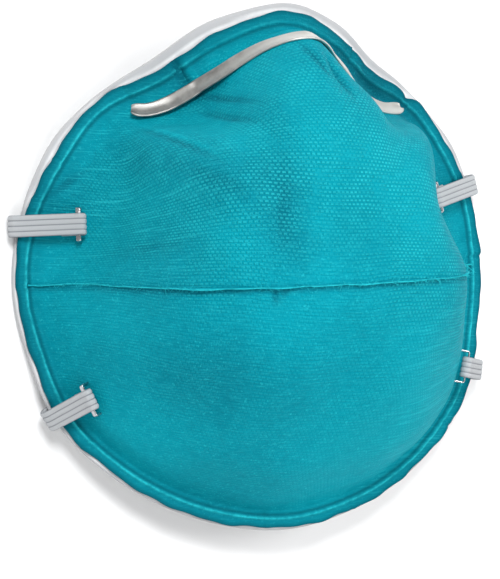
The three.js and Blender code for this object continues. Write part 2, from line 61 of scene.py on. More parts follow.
# Soft dents, then the sharper creases. Each row: across, up, long and wide as shares of the half sizes, the
# turn in degrees, and the depth as a share of dentDepth, below zero for a ridge
dents = [
    (-0.51, 0.54, 0.12, 0.05, -49, 0.8),
    (-0.28, 0.72, 0.07, 0.04, 0, 0.8),
    (-0.30, 0.60, 0.08, 0.05, -40, 0.6),
    (0.07, 0.74, 0.08, 0.05, -74, 0.9),
    (0.50, 0.40, 0.16, 0.07, 50, 0.6),
    (-0.58, -0.42, 0.20, 0.10, 60, 0.5),
    (0.56, -0.44, 0.22, 0.10, -55, 0.6),
    (-0.488, 0.534, 0.10, 0.014, -49, 0.42),
    (-0.452, 0.560, 0.08, 0.020, -46, -0.25),
    (-0.277, 0.722, 0.05, 0.012, -3, 0.40),
    (-0.300, 0.604, 0.045, 0.012, -45, 0.35),
    (0.068, 0.740, 0.075, 0.016, -74, 0.40),
    (-0.363, 0.795, 0.060, 0.012, -56, 0.45),
    (0.05, -0.055, 0.030, 0.012, -60, 0.30),
    (0.02, -0.060, 0.030, 0.014, 70, 0.22),
    (-0.66, 0.30, 0.10, 0.016, 20, 0.15),
    (-0.72, 0.46, 0.07, 0.014, 35, 0.18),
    (0.30, 0.62, 0.10, 0.020, 62, 0.18),
    (-0.40, -0.70, 0.10, 0.02, 40, 0.14),
    (0.20, -0.80, 0.08, 0.02, -80, 0.14),
]


# Share of the way from low to high, eased at both ends: three times its square less twice its cube
def smoothStep(value, low, high):
    t = np.clip((value - low) / (high - low), 0, 1)
    return t * t * (3 - 2 * t)


# Each vector over its own length
def unit(vectors):
    return vectors / np.linalg.norm(vectors, axis=-1, keepdims=True)


# A bell curve turned about its middle: e to the minus sum of the squares of the two ways, each over its reach
def turnedBell(dx, dy, long, wide, degrees):
    turn = np.radians(degrees)
    u = (dx * np.cos(turn) + dy * np.sin(turn)) / long
    v = (dy * np.cos(turn) - dx * np.sin(turn)) / wide
    return np.exp(-u * u - v * v)


# The same, round and about a place
def roundBell(x, y, across, up, wide):
    return np.exp(-((x - across) ** 2 + (y - up) ** 2) / wide ** 2)


# Centripetal Catmull-Rom curve: the cubic from the second point to the third, t of the way along, with slopes
# weighed by the square roots of the distances between the points
def curveBetween(p0, p1, p2, p3, t):
    d0, d1, d2 = (np.sqrt(np.maximum(np.linalg.norm(b - a, axis=-1, keepdims=True), 1e-6))
                  for a, b in ((p0, p1), (p1, p2), (p2, p3)))
    m1 = ((p1 - p0) / d0 - (p2 - p0) / (d0 + d1) + (p2 - p1) / d1) * d1
    m2 = ((p2 - p1) / d1 - (p3 - p1) / (d1 + d2) + (p3 - p2) / d2) * d1
    return p1 + t * (m1 + t * (3 * (p2 - p1) - 2 * m1 - m2 + t * (2 * (p1 - p2) + m1 + m2)))


# Value of one column at any angle: a uniform Catmull-Rom curve through its rows, mirrored past both ends
def along(key, angle):
    values = np.array(directions[key])
    last = len(values) - 1
    folded = np.degrees(np.arctan2(np.sin(angle), np.abs(np.cos(angle))))
    place = (folded + 90) / directionStep
    row = np.clip(np.floor(place).astype(int), 0, last - 1)
    t = place - row
    a, b, c, d = (values[last - np.abs(last - np.abs(row + k))] for k in (-1, 0, 1, 2))
    return b + 0.5 * t * (c - a + t * (2 * a - 5 * b + 4 * c - d + t * (3 * (b - c) + d - a)))


# Radius of an ellipse in that direction, times the reach column
def edgeRadius(angle):
    w, h = cup["halfWidth"], cup["halfHeight"]
    return along("reach", angle) * w * h / np.hypot(h * np.cos(angle), w * np.sin(angle))


# Where the dome ends: one flat band in from the edge
def footRadius(angle):
    return edgeRadius(angle) - cup["flangeWidth"]


# How far the inner shell shows past the edge: its column's share of the strip, less a slight sideways shift
def borderAt(angle):
    strip = along("border", angle) * cup["linerBorder"] - cup["linerShift"] * np.cos(angle)
    return np.maximum(strip, cup["gap"])


# How far the rim's underside rises: its column times the lift of the chin or, above the middle, of the nose
def rimLift(angle):
    end = np.where(np.sin(angle) < 0, cup["chinLift"], cup["noseLift"])
    return np.maximum(along("lift", angle), 0) * end


# Top of the flat band: the rim's lift, and the walls and the gap that lie under it
def flangeHeight(angle):
    return rimLift(angle) + cup["linerWall"] + cup["gap"] + cup["flangeWall"]


# Sum of the dents: turned bell curves, each times its depth
def dentAt(x, y):
    total = np.zeros_like(x)
    for across, up, long, wide, turn, deep in dents:
        dx, dy = x / cup["halfWidth"] - across, y / cup["halfHeight"] - up
        total += deep * turnedBell(dx, dy, long, wide, turn)
    return total * cup["dentDepth"]


# The cup's profile in one direction: a centripetal Catmull-Rom curve of radius and height from the crown
# through the four levels to the foot, leaning on a mirrored point at one end and the flange at the other
def profileAt(angle, turn):
    foot = footRadius(angle)
    height = cup["crownHeight"] - flangeHeight(angle)
    stands = [(along(key, angle) * foot, share * height) for key, share in levels.items()]
    knots = [(-stands[0][0], stands[0][1]), (0 * foot, height), *stands]
    knots += [(foot, 0 * foot), (foot + cup["flangeWidth"], 0 * foot)]
    knots = np.stack([np.stack(k, -1) for k in knots])
    place = 1 + turn * (len(knots) - 3)
    span = np.clip(np.floor(place).astype(int), 1, len(knots) - 3)
    t = (place - span)[:, None]
    column = np.arange(len(angle))
    return curveBetween(*(knots[span + k, column] for k in (-1, 0, 1, 2)), t)


# A point of the cover's face: turn is 0 at the crown and 1 at the foot, beyond is how far past the foot
def coverPoint(angle, turn, beyond):
    angle, turn, beyond = np.broadcast_arrays(angle, turn, beyond)
    shape = angle.shape
    angle, turn, beyond = angle.ravel(), turn.ravel(), beyond.ravel()
    radius, height = profileAt(angle, turn).T
    share = radius / footRadius(angle)
    flange = flangeHeight(angle)
    high = height / (cup["crownHeight"] - flange)
    brow = cup["browRise"] * share * np.maximum(np.sin(angle), 0) ** 2 * high
    x = (radius + beyond) * np.cos(angle)
    y = (radius + beyond) * np.sin(angle) + cup["crownUp"] * (1 - share)
    fade = smoothStep(share, 0, 0.1) * (1 - smoothStep(share, 0.9, 1))
    return np.stack([x, y, flange + height + brow - fade * dentAt(x, y)], -1).reshape(*shape, 3)


# The same face above a place, closing in on its direction and on its turn by halving
def faceAt(x, y, rounds=10, halvings=18):
    share = np.full_like(x, 0.5)
    for step in range(rounds):
        up = y - cup["crownUp"] * (1 - share)
        angle = np.arctan2(up, x)
        foot = footRadius(angle)
        share = np.minimum(np.hypot(x, up) / foot, 1)
        near, far = np.zeros_like(x), np.ones_like(x)
        for half in range(halvings):
            turn = (near + far) / 2
            short = profileAt(angle, turn)[:, 0] < share * foot
            near, far = np.where(short, turn, near), np.where(short, far, turn)
    return coverPoint(angle, turn, np.maximum(np.hypot(x, y) - footRadius(angle), 0))


# Upright direction of the face, from the cross product of its two slopes
def faceNormal(x, y, step=0.4):
    across = faceAt(x + step, y) - faceAt(x - step, y)
    up = faceAt(x, y + step) - faceAt(x, y - step)
    return unit(np.cross(across, up))


# Where the part's own box puts the cup's middle
boxLow, boxHigh = (np.array(corner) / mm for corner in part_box("cover_shell"))
shift = np.array([
    (boxLow[0] + boxHigh[0]) / 2,
    boxHigh[1] - cup["halfHeight"],
    boxLow[2] - cup["linerWall"] - cup["gap"],
])


# A piece from a grid of points in millimetres: moved onto the part, with its UV map and attributes, one value
# a point, tied to its body and given its slot's material, and with the part's nodes that it stands for hidden
def addPiece(name, points, faces, slot, nodes, uv=None, values=None):
    mesh = bpy.data.meshes.new(name)
    mesh.from_pydata(((points.reshape(-1, 3) + shift) * mm).tolist(), [], faces)
    mesh.polygons.foreach_set("use_smooth", np.ones(len(mesh.polygons), bool))
    if uv is not None:
        corners = np.empty(len(mesh.loops), np.int32)
        mesh.loops.foreach_get("vertex_index", corners)
        flat = uv.reshape(-1, 2)[corners].astype(np.float32).ravel()
        mesh.uv_layers.new(name="cloth").data.foreach_set("uv", flat)
    for key, value in (values or {}).items():
        layer = mesh.attributes.new(key, "FLOAT", "POINT")
        layer.data.foreach_set("value", value.astype(np.float32).ravel())
    mesh.materials.append(materials[slot])
    mesh.validate()
    mesh.update()
    piece = bpy.data.objects.new(name, mesh)
    bpy.context.scene.collection.objects.link(piece)
    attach(piece, "root")
    if nodes:
        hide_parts(*nodes)


# Faces of a grid of rows that close round, with a pole point before the first row and after the last
def shellFaces(rows, columns):
    i = np.arange(columns)
    j = (i + 1) % columns
    start = 1 + np.arange(rows - 1)[:, None] * columns
    quads = np.stack([start + i, start + columns + i, start + columns + j, start + j], -1).reshape(-1, 4)
    last = 1 + (rows - 1) * columns
    top = np.stack([np.zeros_like(i), 1 + i, 1 + j], -1)
    bottom = np.stack([np.full_like(i, last + columns), last + j, last + i], -1)
    return quads.tolist() + top.tolist() + bottom.tolist()


# Faces of a section carried along a path, with both ends closed
def bandFaces(stations, corners):
    i = np.arange(corners)
    j = (i + 1) % corners
    start = np.arange(stations - 1)[:, None] * corners
    quads = np.stack([start + i, start + j, start + corners + j, start + corners + i], -1).reshape(-1, 4)
    last = (stations - 1) * corners
    return quads.tolist() + [i[::-1].tolist(), (last + i).tolist()]


# A section carried along a path: each point is the path's own, plus the side direction times the section's
# place across, plus the upright direction times its height
def carried(place, side, up, across, height):
    return place[:, None] + side[:, None] * across[..., None] + up[:, None] * height[..., None]


# UV map of such a band: the run along the path and the place across it
def bandMap(run, across):
    return np.stack(np.broadcast_arrays(run[:, None], across), -1)


# Outward direction of a round sheet, from the cross product of its outward and its round steps
def sheetNormals(sheet, pole):
    padded = np.concatenate([np.broadcast_to(pole, sheet[:1].shape), sheet, sheet[-1:]])
    return unit(np.cross(padded[2:] - padded[:-2], np.roll(sheet, -1, 1) - np.roll(sheet, 1, 1)))


# Node helpers: each makes one node, or a few, and returns the output
def newTree(name):
    material = bpy.data.materials.new(name)
    material.use_nodes = True
    tree = material.node_tree
    tree.nodes.clear()
    output = tree.nodes.new("ShaderNodeOutputMaterial")
    shader = tree.nodes.new("ShaderNodeBsdfPrincipled")
    tree.links.new(shader.outputs["BSDF"], output.inputs["Surface"])
    return material, tree, shader


def put(tree, value, socket):
    if isinstance(value, bpy.types.NodeSocket):
        tree.links.new(value, socket)
    else:
        socket.default_value = value


# Sets the shader's sockets by name: a value on the socket itself, a node's output by a link
def dress(tree, shader, sockets):
    for name, value in sockets.items():
        put(tree, value, shader.inputs[name])


def calc(tree, operation, *values):
    node = tree.nodes.new("ShaderNodeMath")
    node.operation = operation
    for value, socket in zip(values, node.inputs):
        put(tree, value, socket)
    return node.outputs[0]


# Sum of values, each times its weight
def weighted(tree, *pairs):
    parts = [calc(tree, "MULTIPLY", value, weight) for value, weight in pairs]
    total = parts[0]
    for part in parts[1:]:
        total = calc(tree, "ADD", total, part)
    return total


def ramp(tree, value, fromLow, fromHigh, toLow=0.0, toHigh=1.0):
    node = tree.nodes.new("ShaderNodeMapRange")
    node.interpolation_type = "SMOOTHSTEP"
    for item, socket in zip((value, fromLow, fromHigh, toLow, toHigh), node.inputs):
        put(tree, item, socket)
    return node.outputs[0]


def noise(tree, vector, scale, detail, roughness):
    node = tree.nodes.new("ShaderNodeTexNoise")
    put(tree, vector, node.inputs["Vector"])
    put(tree, scale, node.inputs["Scale"])
    put(tree, detail, node.inputs["Detail"])
    put(tree, roughness, node.inputs["Roughness"])
    return node.outputs["Fac"]


def blendColour(tree, share, first, second):
    node = tree.nodes.new("ShaderNodeMix")
    node.data_type = "RGBA"
    put(tree, share, node.inputs[0])
    put(tree, first, node.inputs[6])
    put(tree, second, node.inputs[7])
    return node.outputs[2]


def relief(tree, height, distance, strength, below=None):
    node = tree.nodes.new("ShaderNodeBump")
    put(tree, height, node.inputs["Height"])
    put(tree, distance, node.inputs["Distance"])
    put(tree, strength, node.inputs["Strength"])
    if below is not None:
        put(tree, below, node.inputs["Normal"])
    return node.outputs["Normal"]


def coordinates(tree, kind):
    if kind == "Object":
        return tree.nodes.new("ShaderNodeTexCoord").outputs["Object"]
    node = tree.nodes.new("ShaderNodeUVMap")
    node.uv_map = kind
    return node.outputs["UV"]


def apart(tree, vector):
    node = tree.nodes.new("ShaderNodeSeparateXYZ")
    put(tree, vector, node.inputs[0])
    return node.outputs


def turned(tree, vector, degrees, scale):
    node = tree.nodes.new("ShaderNodeMapping")
    put(tree, vector, node.inputs["Vector"])
    node.inputs["Rotation"].default_value = (0, 0, np.radians(degrees))
    node.inputs["Scale"].default_value = scale
    return node.outputs["Vector"]


def attribute(tree, name):
    node = tree.nodes.new("ShaderNodeAttribute")
    node.attribute_name = name
    return node.outputs["Fac"]


print("helpers ready")

# The camera: the point it looks at, the way back from it and the way up, then its lens and its shift
view = {
    "target": (0.0007, -0.00146, 0.00416), "towards": (-0.4203, 0.0097, 0.9073), "distance": 0.62,
    "up": (0.0442, 0.9990, 0.0098), "lens": 143.4, "shift": (-0.0207, -0.0250), "nearest": 0.01,
}
cameraData = bpy.data.cameras.new("camera")
cameraData.lens = view["lens"]
cameraData.shift_x, cameraData.shift_y = view["shift"]
cameraData.clip_start = view["nearest"]
cameraObject = bpy.data.objects.new("camera", cameraData)
bpy.context.scene.collection.objects.link(cameraObject)
back = Vector(view["towards"]).normalized()
right = Vector(view["up"]).cross(back).normalized()
cameraObject.matrix_world = Matrix.Translation(Vector(view["target"]) + back * view["distance"]) @ Matrix(
    (right, back.cross(right), back)).transposed().to_4x4()
bpy.context.scene.camera = cameraObject
bpy.context.scene.view_settings.view_transform = "Standard"

# The light from all round, the floor and three square lamps that point at the origin, in metres and watts
studio = {
    "air": (1.0, 1.0, 1.0), "airStrength": 0.40,
    "floor": (0.93, 0.935, 0.94), "floorRoughness": 0.9, "floorReach": 4,
    "key": {"place": (-0.30, 0.74, 1.10), "size": 0.45, "power": 13.0},
    "side": {"place": (0.85, 0.20, 1.00), "size": 0.6, "power": 6.8},
    "fill": {"place": (-0.15, -0.85, 1.00), "size": 0.8, "power": 6.0},
}
world = bpy.data.worlds.new("air")
world.use_nodes = True
world.node_tree.nodes["Background"].inputs["Color"].default_value = (*studio["air"], 1)
world.node_tree.nodes["Background"].inputs["Strength"].default_value = studio["airStrength"]
bpy.context.scene.world = world
for name in ("key", "side", "fill"):
    lamp = bpy.data.lights.new(name, "AREA")
    lamp.size = studio[name]["size"]
    lamp.energy = studio[name]["power"]
    lampObject = bpy.data.objects.new(name, lamp)
    lampObject.location = studio[name]["place"]
    lampObject.rotation_euler = (-Vector(studio[name]["place"])).to_track_quat("-Z", "Y").to_euler()
    bpy.context.scene.collection.objects.link(lampObject)

floorMaterial, floorTree, floorShader = newTree("paleFloor")
dress(floorTree, floorShader, {"Base Color": (*studio["floor"], 1), "Roughness": studio["floorRoughness"]})
floorMesh = bpy.data.meshes.new("floor")
floorCorners = [(x * studio["floorReach"], y * studio["floorReach"], 0) for x, y in
                ((-1, -1), (1, -1), (1, 1), (-1, 1))]
floorMesh.from_pydata(floorCorners, [], [(0, 1, 2, 3)])
floorMesh.materials.append(floorMaterial)
floorObject = bpy.data.objects.new("floor", floorMesh)
bpy.context.scene.collection.objects.link(floorObject)
print("camera, lights and floor ready")

# Cover cloth: colours, then the dash pattern in millimetres, the scales of its noises per metre and how much
# each pale or dark layer counts
cloth = {
    "deep": (0.000, 0.150, 0.212, 1), "face": (0.000, 0.330, 0.420, 1), "pale": (0.030, 0.640, 0.720, 1),
    "band": (0.000, 0.085, 0.120, 1), "roughness": 0.7, "specular": 0.05,
    "dash": 1.30, "row": 0.96, "dashHalves": (0.36, 0.30), "dashTurn": 5, "warp": 4.4, "warpScale": 0.03,
    "dashRelief": 0.00065, "fibreRelief": 0.00022,
    "patches": 34, "mottle": 160, "felt": 620, "specks": 1500, "fibres": 2400,
    "grainShare": 0.20, "speckShare": 0.30, "dashShare": 0.55, "bandShare": 0.85,
}


# Pressed nonwoven with small staggered dashes, dark on its flat band and pale on the weld line. A point is in
# a dash where the larger of its two ways from the dash's middle, over the half sizes, is under about 1
def makeCoverMaterial():
    material, tree, shader = newTree("pressedCoverCloth")
    flat = coordinates(tree, "cloth")
    space = coordinates(tree, "Object")
    bend = tree.nodes.new("ShaderNodeTexNoise")
    put(tree, turned(tree, flat, 0, (cloth["warpScale"], cloth["warpScale"], 1)), bend.inputs["Vector"])
    bend.inputs["Scale"].default_value = 1.0
    bend.inputs["Detail"].default_value = 1.0
    slide = tree.nodes.new("ShaderNodeVectorMath")
    slide.operation = "MULTIPLY_ADD"
    put(tree, bend.outputs["Color"], slide.inputs[0])
    slide.inputs[1].default_value = (cloth["warp"], cloth["warp"], 0)
    put(tree, flat, slide.inputs[2])
    perUnit = (1 / cloth["dash"], 1 / cloth["row"], 1)
    place = apart(tree, turned(tree, slide.outputs[0], cloth["dashTurn"], perUnit))
    halfStep = calc(tree, "MULTIPLY", calc(tree, "FLOOR", place["Y"]), 0.5)
    aways = []
    for value, half in zip((calc(tree, "ADD", place["X"], halfStep), place["Y"]), cloth["dashHalves"]):
        middle = calc(tree, "SUBTRACT", calc(tree, "FRACT", value), 0.5)
        aways.append(calc(tree, "ABSOLUTE", calc(tree, "DIVIDE", middle, half)))
    dash = ramp(tree, calc(tree, "MAXIMUM", *aways), 1.1, 0.7)
    patches = noise(tree, space, cloth["patches"], 3, 0.55)
    mottle = noise(tree, space, cloth["mottle"], 5, 0.65)
    felt = noise(tree, space, cloth["felt"], 4, 0.7)
    specks = noise(tree, space, cloth["specks"], 2, 0.5)
    fibres = noise(tree, space, cloth["fibres"], 4, 0.7)
    strands = noise(tree, turned(tree, flat, 20, (0.22, 2.4, 1)), 1.0, 4, 0.65)
    combed, crossed = (
        ramp(tree, noise(tree, turned(tree, flat, degrees, (0.05, close, 1)), 1.0, 2, 0.5), 0.56, 0.68)
        for degrees, close in ((27, 1.5), (118, 1.3)))
    strong = calc(tree, "MULTIPLY", attribute(tree, "emboss"), ramp(tree, mottle, 0.36, 0.60, 0.35, 1.2))
    pressed = calc(tree, "MULTIPLY", dash, strong)
    # Light mixes random mottle, patches and felt with the tone attribute's painted light and shade
    light = weighted(tree, (mottle, 0.17), (patches, 0.15), (felt, 0.16), (attribute(tree, "tone"), 0.52))
    tone = blendColour(tree, ramp(tree, light, 0.24, 0.66), cloth["deep"], cloth["face"])
    layers = [
        (ramp(tree, strands, 0.45, 0.72), cloth["grainShare"], "pale"),
        (ramp(tree, specks, 0.60, 0.72), cloth["speckShare"], "pale"),
        (combed, attribute(tree, "comb"), "pale"),
        (crossed, attribute(tree, "hatch"), "pale"),
        (pressed, cloth["dashShare"], "pale"),
        # The band attribute: the band's darker colour, with painted shade in its trench, at the dome's foot
        # and beside it
        (attribute(tree, "band"), cloth["bandShare"], "band"),
        (attribute(tree, "weld"), ramp(tree, felt, 0.38, 0.60, 0.25, 0.62), "pale"),
    ]
    for share, strength, colour in layers:
        tone = blendColour(tree, calc(tree, "MULTIPLY", share, strength), tone, cloth[colour])
    fuzz = weighted(tree, (fibres, 0.45), (strands, 0.55), (mottle, 0.8))
    under = relief(tree, fuzz, cloth["fibreRelief"], 1.0)
    dress(tree, shader, {
        "Base Color": tone, "Roughness": cloth["roughness"], "Specular IOR Level": cloth["specular"],
        "Normal": relief(tree, pressed, cloth["dashRelief"], 1.0, under),
    })
    return material


linerCloth = {
    "shade": (0.70, 0.71, 0.73, 1), "light": (0.80, 0.805, 0.81, 1), "rim": (0.40, 0.405, 0.42, 1),
    "rimShadeShare": 0.85, "fine": 1900, "tufts": 260, "relief": 0.00016, "roughness": 0.85, "sheen": 0.15,
}


# Soft white nonwoven of the inner shell, with painted shade, grey, on the outer part of its rim
def makeLinerMaterial():
    material, tree, shader = newTree("whiteLinerCloth")
    space = coordinates(tree, "Object")
    fine = noise(tree, space, linerCloth["fine"], 4, 0.7)
    tufts = noise(tree, space, linerCloth["tufts"], 4, 0.65)
    tone = blendColour(tree, ramp(tree, tufts, 0.3, 0.7), linerCloth["shade"], linerCloth["light"])
    # Painted shade: grey on the outer part of the strip that shows
    rim = calc(tree, "MULTIPLY", attribute(tree, "rim"), linerCloth["rimShadeShare"])
    dress(tree, shader, {
        "Base Color": blendColour(tree, rim, tone, linerCloth["rim"]), "Roughness": linerCloth["roughness"],
        "Sheen Weight": linerCloth["sheen"],
        "Normal": relief(tree, weighted(tree, (fine, 0.4), (tufts, 0.6)), linerCloth["relief"], 0.9),
    })
    return material


clipMetal = {
    "dark": (0.28, 0.275, 0.265, 1), "worn": (0.36, 0.355, 0.34, 1), "paintedLit": (0.66, 0.66, 0.63, 1),
    "paintedLitFrom": -22, "paintedLitTo": 4, "scuffs": 420, "relief": 0.00004, "smooth": 0.40, "rough": 0.50,
}


# Bare soft aluminium, drawn lengthwise, with handling scuffs, and painted light and shade: darker on its left
# arm and lighter towards its right
def makeClipMaterial():
    material, tree, shader = newTree("softAluminium")
    flat = coordinates(tree, "cloth")
    drawn = noise(tree, turned(tree, flat, 0, (0.12, 9, 1)), 1.0, 3, 0.6)
    scuffs = noise(tree, coordinates(tree, "Object"), clipMetal["scuffs"], 3, 0.6)
    tone = blendColour(tree, ramp(tree, scuffs, 0.35, 0.65), clipMetal["dark"], clipMetal["worn"])
    # Painted light and shade along the clip, from its left arm to its right
    paintedLit = ramp(tree, apart(tree, flat)["X"], clipMetal["paintedLitFrom"], clipMetal["paintedLitTo"])
    under = relief(tree, drawn, clipMetal["relief"], 0.6)
    dress(tree, shader, {
        "Base Color": blendColour(tree, paintedLit, tone, clipMetal["paintedLit"]), "Metallic": 1.0,
        "Roughness": ramp(tree, scuffs, 0.3, 0.7, clipMetal["smooth"], clipMetal["rough"]),
        "Normal": relief(tree, scuffs, clipMetal["relief"], 0.4, under),
    })
    return material


elasticKnit = {
    "groove": (0.24, 0.26, 0.29, 1), "rib": (0.64, 0.66, 0.68, 1), "thread": (0.34, 0.36, 0.39, 1),
    "threadShare": 0.5, "close": 15.0, "wobble": 3.0, "relief": 0.00013, "roughness": 0.8, "sheen": 0.1,
}


# Knitted elastic: lengthwise ribs with painted shade in the grooves between them, and short cross threads
# that are the size of a sine along the run
def makeElasticMaterial():
    material, tree, shader = newTree("ribbedElastic")
    flat = coordinates(tree, "cloth")
    wobble = noise(tree, turned(tree, flat, 0, (1.2, 3, 1)), 1.0, 2, 0.5)
    run = weighted(tree, (apart(tree, flat)["X"], elasticKnit["close"]), (wobble, elasticKnit["wobble"]))
    threads = calc(tree, "ABSOLUTE", calc(tree, "SINE", run))
    # Painted shade: the grooves between the ribs darker
    groove = ramp(tree, attribute(tree, "rib"), 0.15, 0.75)
    tone = blendColour(tree, groove, elasticKnit["groove"], elasticKnit["rib"])
    share = calc(tree, "MULTIPLY", threads, elasticKnit["threadShare"])
    dress(tree, shader, {
        "Base Color": blendColour(tree, share, tone, elasticKnit["thread"]),
        "Roughness": elasticKnit["roughness"], "Sheen Weight": elasticKnit["sheen"],
        "Normal": relief(tree, threads, elasticKnit["relief"], 0.9),
    })
    return material


stapleSteel = {
    "dark": (0.38, 0.39, 0.41, 1), "light": (0.58, 0.59, 0.60, 1),
    "marks": 900, "smooth": 0.18, "rough": 0.32,
}


# Bright flat steel wire with faint marks
def makeStapleMaterial():
    material, tree, shader = newTree("brightStapleWire")
    marks = noise(tree, coordinates(tree, "Object"), stapleSteel["marks"], 3, 0.6)
    dress(tree, shader, {
        "Base Color": blendColour(tree, marks, stapleSteel["dark"], stapleSteel["light"]), "Metallic": 1.0,
        "Roughness": ramp(tree, marks, 0.3, 0.7, stapleSteel["smooth"], stapleSteel["rough"]),
    })
    return material


materials = {
    "cover": makeCoverMaterial(), "liner": makeLinerMaterial(), "clip": makeClipMaterial(),
    "elastic": makeElasticMaterial(), "staple": makeStapleMaterial(),
}
print("materials ready")

# The cover's sheet: its grid, the weld line and the trench by it in millimetres, the waves round the rim, and
# the pinches, notch and nose fold, and the painted shade where the band meets the dome, by their directions
# in degrees
coverSheet = {
    "columns": 480, "domeRows": 150, "bandRows": 18, "hiddenStep": 12, "hiddenBandStep": 6,
    "weldInset": 2.5, "weldWidth": 0.36, "weldHeight": 0.45,
    "trench": 0.2, "trenchAway": 0.95, "trenchWidth": 0.5,
    "edge": {"seed": 3, "turns": (9, 17, 29, 46), "most": 0.5},
    "ripple": {"seed": 5, "turns": (31, 47, 59, 83), "most": 0.22},
    "hold": {"seed": 9, "turns": (13, 22, 37), "most": 0.3},
    "swell": 0.5, "pinches": [-111, -96, -73, -39, 3, 179, 150, 128, 68, -143, 45, 22, 160],
    "pinchDepth": 0.6, "pinchWidth": 0.7, "notch": 47, "notchDepth": 1.3, "notchWidth": 2.0,
    "noseFold": 80, "noseFoldReach": 46, "noseFoldLoss": 0.75, "valleyShade": 52, "valleyShadeReach": 18,
}
creases = [           # across, up, long, wide in millimetres, turn in degrees, depth or, below zero, rise
    (-25.9, 54.2, 5.0, 0.8, -65, 1.5), (-23.5, 55.0, 4.0, 1.0, -65, -0.4),
    (-33.5, 37.2, 6.0, 0.7, -48, -0.45), (-34.6, 36.2, 6.0, 1.2, -48, 0.45),
    (-19.7, 47.3, 3.4, 0.9, -30, 0.7), (-21.0, 42.0, 2.8, 0.9, -41, 0.6),
    (-0.5, 55.2, 4.5, 0.9, -60, 0.6), (5.2, 50.5, 5.0, 1.0, -74, 0.6), (-19.9, -3.6, 2.2, 0.8, -84, 0.6),
    (-17.6, -3.2, 1.8, 0.7, 64, 0.45), (-17.0, 17.0, 8.0, 2.0, 84, 0.25),
    (-31.0, 26.0, 6.0, 2.0, -40, 0.25), (-44.0, 9.0, 6.0, 1.6, 20, 0.2), (-55.5, 27.0, 5.0, 1.0, 35, 0.4),
    (34.0, 48.0, 7.0, 1.3, -36, 0.8), (43.5, 46.5, 3.2, 0.8, 47, 0.9), (20.0, 57.0, 6.0, 1.2, -38, 0.6),
]
paintedLightAndShade = [         # painted light and shade: across, up, reach in millimetres, below zero painted shade and above zero painted light
    (-17, 14, 7, -0.5), (-18, 27, 7, -0.5), (-31, 26, 8, -0.5), (-40, 33, 7, -0.4), (-36, 8.5, 6, -0.3),
    (-26, -24, 15, -0.4), (-1, 55, 5, -0.6), (-24, 52, 5, -0.9), (-55, 25, 8, -0.6), (-44, -2, 6, -0.3),
    (-7, 50, 7, 0.5), (-4, 34, 8, 0.6), (12, 31, 8, 0.8), (18, 21, 10, 0.8), (24, 8.5, 9, 0.7),
    (-39, 24, 7, 0.5), (-30, 11, 6, 0.7), (-22, 37, 6, 0.7), (-49, 12, 7, 0.3), (-6, 22, 8, 0.5),
    (-54, -9, 9, 0.5), (-45, -38, 12, 0.5), (30, -25, 16, 0.6), (38, -42, 16, 0.8), (8, -56, 14, 0.7),
    (42, 44, 6, -1.1), (54, 29, 5, -0.6), (18, 58, 5, -1.2), (26, 53, 5, -1.3), (33, 49, 5, -1.3),
    (-15, 40, 6, -0.4), (-14, 22, 5, -0.5), (-15, 7, 5, -0.4), (-6, 38, 5, 0.5), (-8, 13, 4, 0.4),
    (-7, 3, 4, 0.3), (-18, -12, 8, 0.3), (-60, -12, 12, -0.5), (-40, -25, 16, -0.3),
]
embossZones = [       # across and up in millimetres, how far it reaches, strength
    (8, 32, 26, 1.0), (28, 12, 25, 1.0), (45, -6, 20, 0.9), (43, -32, 18, 0.6), (-14, 26, 20, 0.8),
    (-34, 18, 22, 0.65), (-8, 50, 12, 0.6), (10, -28, 26, 0.20), (-42, -25, 26, 0.14),
]
combZones = [         # the fine combed lines, in the same way
    (-50, 20, 18, 1.0), (-35, 42, 12, 0.7),
]
# zone, fold and seamShadow weigh painted light and shade in the tone; trench, foot and valleyShade weigh
# painted shade on the band
shades = {            # how much each counts, and where the crossed lines start and are full in millimetres
    "leastEmboss": 0.12, "bandEmbossLoss": 0.8, "zone": 0.3, "fold": 0.7, "seamShadow": 0.3,
    "seamShadowWidth": 0.8, "band": 0.55, "edge": 0.45, "edgeReach": 1.4, "trench": 0.6, "foot": 0.25,
    "valleyShade": 0.35, "comb": 0.45, "hatch": 0.35, "hatchComb": 0.7,
    "hatchAcross": (5, 40), "hatchDown": (0, 15),
}
# The seam: the plane that its line lies in, its lip in millimetres, and its loose fibres
seam = {
    "up": 1.5, "lean": 0.055, "span": 65.8, "proud": 1.5, "thick": 0.4, "middleStand": 0.55, "stations": 520,
    "taper": 0.8, "leftTaper": 6, "rightTaper": 16, "drawnOver": 70, "frayHeight": 0.28, "frayKnots": 90,
    "fuzz": 0.07, "tilt": 0.3, "tiltKnots": 40, "seed": 21,
    "fibres": 420, "fibreLength": 2.0, "fibreThick": 0.12, "fibreStations": 6,
    "section": [(0.75, -0.35), (0.42, 0.0), (0.25, 0.45), (0.12, 0.85), (-0.1, 1.0), (-0.38, 0.95),
                (-0.55, 0.7), (-0.52, 0.35), (-0.6, 0.0), (-0.85, -0.35)],
}


# Wandering value round the rim: the mean of a few sines of whole turns with seeded phases, times its most
def wander(angle, wave):
    count = len(wave["turns"])
    phases = np.random.default_rng(wave["seed"]).uniform(0, 2 * np.pi, count)
    return wave["most"] * sum(np.sin(n * angle + p) / count for n, p in zip(wave["turns"], phases))


# Angle from a direction given in degrees, the short way round
def turnFrom(angle, degrees):
    return np.angle(np.exp(1j * (angle - np.radians(degrees))))


# A flat-topped bell about a direction: e to the minus fourth power of the angle over its reach
def broadBell(angle, degrees, reach):
    return np.exp(-(turnFrom(angle, degrees) / np.radians(reach)) ** 4)


